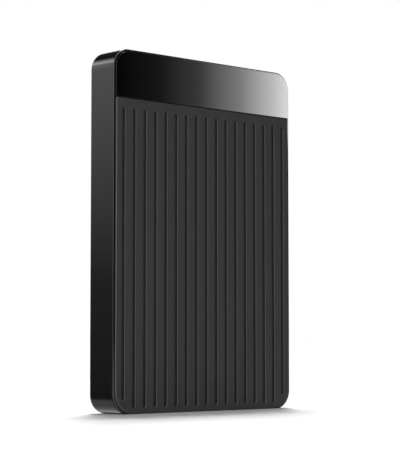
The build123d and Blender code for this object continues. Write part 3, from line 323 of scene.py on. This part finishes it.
def foam(name, colour):
    """Closed-cell foam: a skin of small cut bubbles."""
    made = Surface(name, Specular_IOR_Level=0.15)
    bubbles = made.cells(0.45 * MM)
    # Painted shade: the hollows of the cut bubbles are painted darker than the walls between them.
    wall = made.mask(bubbles, 0.1, 0.6)
    made.feed("Base Color", made.mix(wall, shade(colour, 0.35), shade(colour, 1.2)))
    made.feed("Roughness", made.remap(bubbles, 0.95, 0.8))
    made.bump(bubbles, depth=0.12 * MM, strength=0.8)
    return made.material


def clear_plastic(name, colour):
    """Clear moulded plastic with faint marks."""
    made = Surface(name, IOR=1.49, Transmission_Weight=1.0)
    marks = made.noise(0.6 * MM, detail=3.0)
    made.feed("Base Color", made.tint(marks, colour, spread=0.03))
    made.feed("Roughness", made.vary(marks, 0.08, 0.2))
    made.bump(marks, depth=0.004 * MM, strength=0.4)
    return made.material


def flex_film(name, colour):
    """Amber film with copper tracks along it."""
    made = Surface(name, IOR=1.6)
    track = made.mask(made.wave({"bands_direction": "Y"}, 1.6 * MM), 0.45, 0.55)
    made.feed("Base Color", made.mix(track, shade(colour, 0.7), TRACK_COPPER))
    made.feed("Roughness", made.remap(track, 0.3, 0.2))
    made.bump(track, depth=0.01 * MM, strength=0.5)
    return made.material


def filter_cloth(name, colour):
    """White felt: crossed fibres in both directions."""
    made = Surface(name, Specular_IOR_Level=0.1, Sheen_Weight=0.2)
    along = made.noise(0.25 * MM, detail=3.0, squeeze=(0.2, 1.0, 1.0))
    across = made.noise(0.25 * MM, detail=3.0, squeeze=(1.0, 1.0, 0.2))
    fibres = made.math("MAXIMUM", along, across)
    made.feed("Base Color", made.tint(made.mask(fibres, 0.4, 0.75), colour, spread=0.18))
    made.feed("Roughness", made.remap(fibres, 0.95, 0.8))
    made.bump(fibres, depth=0.08 * MM, strength=0.8)
    return made.material


# Metals


def turned_metal(name, colour, roughness, span):
    """Metal cut in a lathe: fine rings round the disc's centre, about three to a span."""
    made = Surface(name, Metallic=1.0)
    place = made.position(shift=(-DISC_CENTRE.x, 0.0, -DISC_CENTRE.z))
    rings = made.wave({"wave_type": "RINGS", "rings_direction": "Y"}, span, place, distortion=0.6)
    cloud = made.noise(4.0 * MM, detail=3.0)
    made.feed("Base Color", made.tint(cloud, colour, spread=0.06))
    made.feed("Roughness", made.remap(rings, roughness * 0.8, roughness * 1.2))
    made.bump(rings, depth=0.004 * MM, strength=0.25)
    return made.material


def brushed_metal(name, colour, roughness, squeeze):
    """Metal with fine lines along the axis that is squeezed."""
    made = Surface(name, Metallic=1.0)
    lines = made.noise(0.2 * MM, detail=2.0, squeeze=squeeze)
    cloud = made.noise(5.0 * MM, detail=3.0)
    made.feed("Base Color", made.tint(cloud, colour, spread=0.08))
    made.feed("Roughness", made.vary(lines, roughness * 0.75, roughness * 1.25))
    made.bump(lines, depth=0.002 * MM, strength=0.3)
    return made.material


def cast_metal(name, colour, roughness):
    """Cast or blasted metal: a pitted skin."""
    made = Surface(name, Metallic=1.0)
    pits = made.noise(0.3 * MM, detail=5.0, roughness=0.65)
    cloud = made.noise(9.0 * MM, detail=3.0)
    made.feed("Base Color", made.tint(cloud, colour, spread=0.12))
    made.feed("Roughness", made.vary(pits, roughness - 0.1, roughness + 0.1))
    made.bump(pits, depth=0.03 * MM, strength=0.7)
    return made.material


def stacked_steel(name, colour):
    """Thin steel sheets stacked through the depth."""
    made = Surface(name, Metallic=1.0)
    sheets = made.wave({"bands_direction": "Y"}, 0.6 * MM)
    rust = made.noise(1.0 * MM, detail=4.0)
    made.feed("Base Color", made.tint(rust, colour, spread=0.2))
    made.feed("Roughness", made.remap(sheets, 0.35, 0.55))
    made.bump(sheets, depth=0.02 * MM, strength=0.6)
    return made.material


def copper_wire(name, colour):
    """Windings of fine enamelled wire."""
    made = Surface(name, Metallic=1.0)
    strand = made.wave({"bands_direction": "DIAGONAL"}, 0.5 * MM, distortion=1.5)
    # Painted shade: the windings are painted darker in the grooves between the strands.
    made.feed("Base Color", made.mix(strand, shade(colour, 0.45), shade(colour, 1.05)))
    made.feed("Roughness", made.remap(strand, 0.5, 0.25))
    made.bump(strand, depth=0.05 * MM, strength=0.8)
    return made.material


# Electronics


def circuit_board(name, colour):
    """Green solder mask over paler copper tracks, with small round gold pads."""
    made = Surface(name, IOR=PLASTIC_IOR)
    place = made.position(turn=(math.pi / 2, 0.0, 0.0))
    layout = {"offset": 0.37, "squash": 0.6}
    tracks = made.node("TexBrick", layout, Vector=place, Scale=1.0 / (3.0 * MM), Mortar_Size=0.03)
    track = tracks.outputs["Fac"]
    pad = made.remap(made.cells(3.2 * MM), 1.0, 0.0, start=0.1, end=0.13)
    solder_mask = made.mix(track, colour, shade(colour, 1.8))
    made.feed("Base Color", made.mix(pad, solder_mask, GOLD))
    made.feed("Metallic", pad)
    made.feed("Roughness", made.remap(track, 0.38, 0.3))
    made.bump(track, depth=0.02 * MM, strength=0.6)
    return made.material


def connector(name, colour):
    """Black connector plastic, with gold contacts along the tongues of the data socket."""
    made = Surface(name, IOR=PLASTIC_IOR)
    grain = made.noise(0.2 * MM, detail=3.0)
    cloud = made.noise(6.0 * MM, detail=2.0)
    height = made.axis("Z")
    row = made.math("PINGPONG", made.axis("X"), CONTACT_PITCH / 2)
    strip = made.mask(row, *(CONTACT_PITCH * share for share in CONTACT_EDGE))
    root, tip = TONGUE_TIP - CONTACT_ROOT, TONGUE_TIP - CONTACT_TIP
    above_root = made.mask(height, root, root + CONTACT_BLUR)
    below_tip = made.remap(height, 1.0, 0.0, tip, tip + CONTACT_BLUR)
    contact = made.math("MULTIPLY", strip, made.math("MULTIPLY", above_root, below_tip))
    made.feed("Base Color", made.mix(contact, made.tint(cloud, colour, spread=0.15), GOLD))
    made.feed("Metallic", contact)
    made.feed("Roughness", made.blend(contact, made.vary(grain, 0.44, 0.56), 0.25))
    made.bump(grain, depth=0.01 * MM, strength=0.5)
    return made.material


def lens(name, colour):
    """A pale lens with a thin clear coat and a little haze."""
    made = Surface(name, IOR=PLASTIC_IOR, Coat_Weight=0.5)
    haze = made.noise(0.3 * MM, detail=2.0)
    made.feed("Base Color", made.tint(haze, colour, spread=0.08))
    made.feed("Roughness", made.vary(haze, 0.2, 0.35))
    return made.material


MAKERS = {
    "case_plastic": case_plastic,
    "ribbed_plastic": ribbed_plastic,
    "band_gloss": band_gloss,
    "adhesive": rubber,
    "rubber": rubber,
    "foam": foam,
    "circuit_board": circuit_board,
    "chip": partial(dull_plastic, grain_size=0.08 * MM, roughness=0.55),
    "connector": connector,
    "steel": partial(brushed_metal, roughness=0.28, squeeze=(0.1, 1.0, 1.0)),
    "yoke_steel": partial(brushed_metal, roughness=0.14, squeeze=(1.0, 1.0, 0.3)),
    "core_steel": stacked_steel,
    "copper": copper_wire,
    "cast_aluminium": partial(cast_metal, roughness=0.45),
    "sheet_aluminium": partial(brushed_metal, roughness=0.32, squeeze=(1.0, 1.0, 0.03)),
    "machined_aluminium": partial(turned_metal, roughness=0.24, span=0.5 * MM),
    "disc_mirror": partial(turned_metal, roughness=0.05, span=0.8 * MM),
    "head_ceramic": partial(dull_plastic, grain_size=0.05 * MM, roughness=0.35),
    "pale_plastic": partial(dull_plastic, grain_size=0.15 * MM, roughness=0.4),
    "filter_cloth": filter_cloth,
    "flex_film": flex_film,
    "light_clear": clear_plastic,
    "led_lens": lens,
}


def dress_nodes():
    """Give every CAD node the material of its slot in the record."""
    record = frame["record"]
    colours = {entry["slot"]: shade(entry["base_color"], 1.0) for entry in record["materials"]}
    materials = {slot: MAKERS[slot](slot, colour) for slot, colour in colours.items()}
    for part in record["subparts"]:
        mesh = nodes[part["node"]].data
        mesh.materials.clear()
        mesh.materials.append(materials[part["material_slot"]])


# The studio


def add_camera():
    """A long lens at the photograph's height, turned to the left front corner and tilted up a little."""
    flat = Vector((math.sin(YAW), math.cos(YAW), 0.0))
    right = Vector((math.cos(YAW), -math.sin(YAW), 0.0))
    view = flat * math.cos(PITCH) + Vector((0.0, 0.0, math.sin(PITCH)))
    data = bpy.data.cameras.new("camera")
    data.sensor_fit = "VERTICAL"
    data.sensor_height = SENSOR
    data.lens = LENS
    camera = bpy.data.objects.new("camera", data)
    camera.location = right * CAMERA_SHIFT - flat * CAMERA_DISTANCE + Vector((0.0, 0.0, CAMERA_HEIGHT))
    camera.rotation_euler = view.to_track_quat("-Z", "Y").to_euler()
    bpy.context.scene.collection.objects.link(camera)
    bpy.context.scene.camera = camera


def seen_directly(tree):
    """1 for what the camera, gloss and glass look at, and 0 for the light that falls on things."""
    path = tree.nodes.new("ShaderNodeLightPath")
    seen = path.outputs["Is Camera Ray"]
    for name in ("Is Glossy Ray", "Is Transmission Ray"):
        either = tree.nodes.new("ShaderNodeMath")
        either.operation = "MAXIMUM"
        tree.links.new(seen, either.inputs[0])
        tree.links.new(path.outputs[name], either.inputs[1])
        seen = either.outputs["Value"]
    return seen


def add_world():
    """Soft even light from all round, seen as plain white."""
    world = bpy.data.worlds.new("studio")
    bpy.context.scene.world = world
    world.use_nodes = True
    tree = world.node_tree
    level = tree.nodes.new("ShaderNodeMapRange")
    level.inputs["To Min"].default_value = AMBIENT
    level.inputs["To Max"].default_value = 1.0
    tree.links.new(seen_directly(tree), level.inputs["Value"])
    background = tree.nodes["Background"]
    background.inputs["Color"].default_value = (1.0, 1.0, 1.0, 1.0)
    tree.links.new(level.outputs["Result"], background.inputs["Strength"])


def add_stage_mesh(name, corners, faces):
    """A mesh that is no part of the object, with an empty material to fill in."""
    mesh = bpy.data.meshes.new(name)
    mesh.from_pydata(corners, [], faces)
    piece = bpy.data.objects.new(name, mesh)
    bpy.context.scene.collection.objects.link(piece)
    material = bpy.data.materials.new(name)
    material.use_nodes = True
    material.node_tree.nodes.clear()
    mesh.materials.append(material)
    return piece, material.node_tree


def add_floor():
    """A wide pale floor that keeps the shadow."""
    corners = [(x * FLOOR_REACH, y * FLOOR_REACH, 0.0) for x, y in ((-1, -1), (1, -1), (1, 1), (-1, 1))]
    floor, tree = add_stage_mesh("floor", corners, [(0, 1, 2, 3)])
    floor.visible_diffuse = False
    matte = tree.nodes.new("ShaderNodeBsdfDiffuse")
    matte.inputs["Color"].default_value = FLOOR_COLOUR
    surface = tree.nodes.new("ShaderNodeOutputMaterial")
    tree.links.new(matte.outputs["BSDF"], surface.inputs["Surface"])


def own_place(tree, axis):
    """The place along one of a card's own axes."""
    place = tree.nodes.new("ShaderNodeTexCoord")
    split = tree.nodes.new("ShaderNodeSeparateXYZ")
    tree.links.new(place.outputs["Object"], split.inputs["Vector"])
    return split.outputs[axis]


def graded_glow(tree, axis, levels):
    """A glow that is graded from level to level along one of a card's own axes."""
    start, end = levels[0][0], levels[-1][0]
    peak = max(level for _, level in levels)
    share = tree.nodes.new("ShaderNodeMapRange")
    share.inputs["From Min"].default_value = start
    share.inputs["From Max"].default_value = end
    tree.links.new(own_place(tree, axis), share.inputs["Value"])
    ramp = tree.nodes.new("ShaderNodeValToRGB")
    stops = ramp.color_ramp.elements
    while len(stops) < len(levels):
        stops.new(0.5)
    for stop, (place, level) in zip(stops, levels):
        stop.position = (place - start) / (end - start)
        stop.color = (*[level / peak] * 3, 1.0)
    tree.links.new(share.outputs["Result"], ramp.inputs["Fac"])
    glow = tree.nodes.new("ShaderNodeEmission")
    glow.inputs["Strength"].default_value = peak
    tree.links.new(ramp.outputs["Color"], glow.inputs["Color"])
    return glow.outputs["Emission"]


def fade_out(tree, shader, cover):
    """Let a shader fade to nothing where the cover goes from 1 to 0."""
    clear = tree.nodes.new("ShaderNodeBsdfTransparent")
    fade = tree.nodes.new("ShaderNodeMixShader")
    tree.links.new(cover, fade.inputs["Fac"])
    tree.links.new(clear.outputs["BSDF"], fade.inputs[1])
    tree.links.new(shader, fade.inputs[2])
    return fade.outputs["Shader"]


def show_to_gloss(piece, tree, shader):
    """Give a studio card its shader, and hide the card from all but gloss."""
    surface = tree.nodes.new("ShaderNodeOutputMaterial")
    tree.links.new(shader, surface.inputs["Surface"])
    piece.visible_camera = piece.visible_diffuse = piece.visible_shadow = piece.visible_transmission = False


def add_card(name, corners, faces, axis, levels):
    """A card that only gloss sees."""
    card, tree = add_stage_mesh(name, corners, faces)
    show_to_gloss(card, tree, graded_glow(tree, axis, levels))
    return card


def add_sweep(name, radius, first, last, top, levels):
    """A curved wall round the object between two directions, in degrees from the back towards the left."""
    corners = []
    for index in range(SWEEP_STEPS + 1):
        turn = math.radians(first + (last - first) * index / SWEEP_STEPS)
        for z in (SWEEP_FLOOR_GAP, top):
            corners.append((-radius * math.sin(turn), radius * math.cos(turn), z))
    faces = [(2 * i, 2 * i + 2, 2 * i + 3, 2 * i + 1) for i in range(SWEEP_STEPS)]
    add_card(name, corners, faces, "Z", levels)


def add_floor_flag():
    """A card on the floor by the left wall: pale close to it, dark further out and faint at the sides."""
    ends = ((FLAG_NEAR, FLAG_NEAR_PLACES), (FLAG_FAR, FLAG_FAR_PLACES))
    corners = [(x, y, FLAG_RISE) for x, places in ends for y in places]
    row = len(FLAG_COVER)
    faces = [(i, i + 1, row + i + 1, row + i) for i in range(row - 1)]
    flag, tree = add_stage_mesh("floor_flag", corners, faces)
    cover = flag.data.attributes.new("cover", "FLOAT", "POINT")
    cover.data.foreach_set("value", FLAG_COVER * len(ends))
    share = tree.nodes.new("ShaderNodeAttribute")
    share.attribute_name = cover.name
    glow = graded_glow(tree, "X", FLAG_LEVELS)
    show_to_gloss(flag, tree, fade_out(tree, glow, share.outputs["Fac"]))


def add_top_card():
    """A card overhead, a little to the front, which draws a line along the rim's upper corner."""
    outline = ((TOP_CARD_LEFT, TOP_CARD_FRONT), (TOP_CARD_RIGHT, TOP_CARD_FRONT),
               (TOP_CARD_RIGHT, TOP_CARD_BACK), (TOP_CARD_LEFT, TOP_CARD_BACK))
    corners = [(x, y, TOP_CARD_HEIGHT) for x, y in outline]
    levels = [(TOP_CARD_LEFT, TOP_CARD_LEVEL), (TOP_CARD_RIGHT, TOP_CARD_LEVEL)]
    add_card("top_card", corners, [(0, 1, 2, 3)], "X", levels)


def add_band_card():
    """A wide card, graded from black to white, where the gloss band mirrors it."""
    half = BAND_CARD_HEIGHT / 2
    left, right = BAND_CARD_LEVELS[0][0], BAND_CARD_LEVELS[-1][0]
    corners = [(left, 0.0, -half), (right, 0.0, -half), (right, 0.0, half), (left, 0.0, half)]
    card = add_card("band_card", corners, [(0, 1, 2, 3)], "X", BAND_CARD_LEVELS)
    mirrored = Vector((math.sin(YAW), -math.cos(YAW), math.tan(BAND_VIEW_RISE)))
    card.location = (BAND_LOW + BAND_HIGH) / 2 + mirrored * BAND_CARD_DISTANCE
    card.rotation_euler = (0.0, 0.0, math.pi / 2 - YAW)


def add_sun(name, from_where, strength, spread):
    """A wide soft lamp, far off in a direction."""
    data = bpy.data.lights.new(name, "SUN")
    data.energy = strength
    data.angle = spread
    lamp = bpy.data.objects.new(name, data)
    lamp.rotation_euler = Vector(from_where).to_track_quat("Z", "Y").to_euler()
    bpy.context.scene.collection.objects.link(lamp)


def add_softbox(name, place, width, height, watts):
    """A lamp with a lit face, aimed at the middle of the object and not mirrored in it."""
    data = bpy.data.lights.new(name, "AREA")
    data.shape = "RECTANGLE"
    data.size, data.size_y = width, height
    data.energy = watts
    lamp = bpy.data.objects.new(name, data)
    lamp.location = place
    lamp.rotation_euler = (Vector(place) - (CASE_LOW + CASE_HIGH) / 2).to_track_quat("Z", "Y").to_euler()
    lamp.visible_glossy = False
    bpy.context.scene.collection.objects.link(lamp)


def light_scene():
    """Lamps behind and on the left, and the cards that the gloss mirrors."""
    for index, (turn, slope) in enumerate(BACK_LAMPS):
        azimuth = YAW + math.radians(turn)
        from_where = (math.sin(azimuth), math.cos(azimuth), slope)
        add_sun(f"back_light_{index}", from_where, BACK_STRENGTH / len(BACK_LAMPS), BACK_SPREAD)
    add_softbox("left_box", LEFT_BOX_PLACE, LEFT_BOX_WIDTH, LEFT_BOX_HEIGHT, LEFT_BOX_WATTS)
    add_band_card()
    add_sweep("left_sweep", **LEFT_SWEEP)
    add_sweep("rim_sweep", **RIM_SWEEP)
    add_floor_flag()
    add_top_card()
    add_sweep("front_flag", **FRONT_FLAG)
    add_sweep("back_flag", **BACK_FLAG)


dress_nodes()
add_camera()
add_world()
add_floor()
light_scene()
bpy.context.scene.view_settings.view_transform = "Standard"
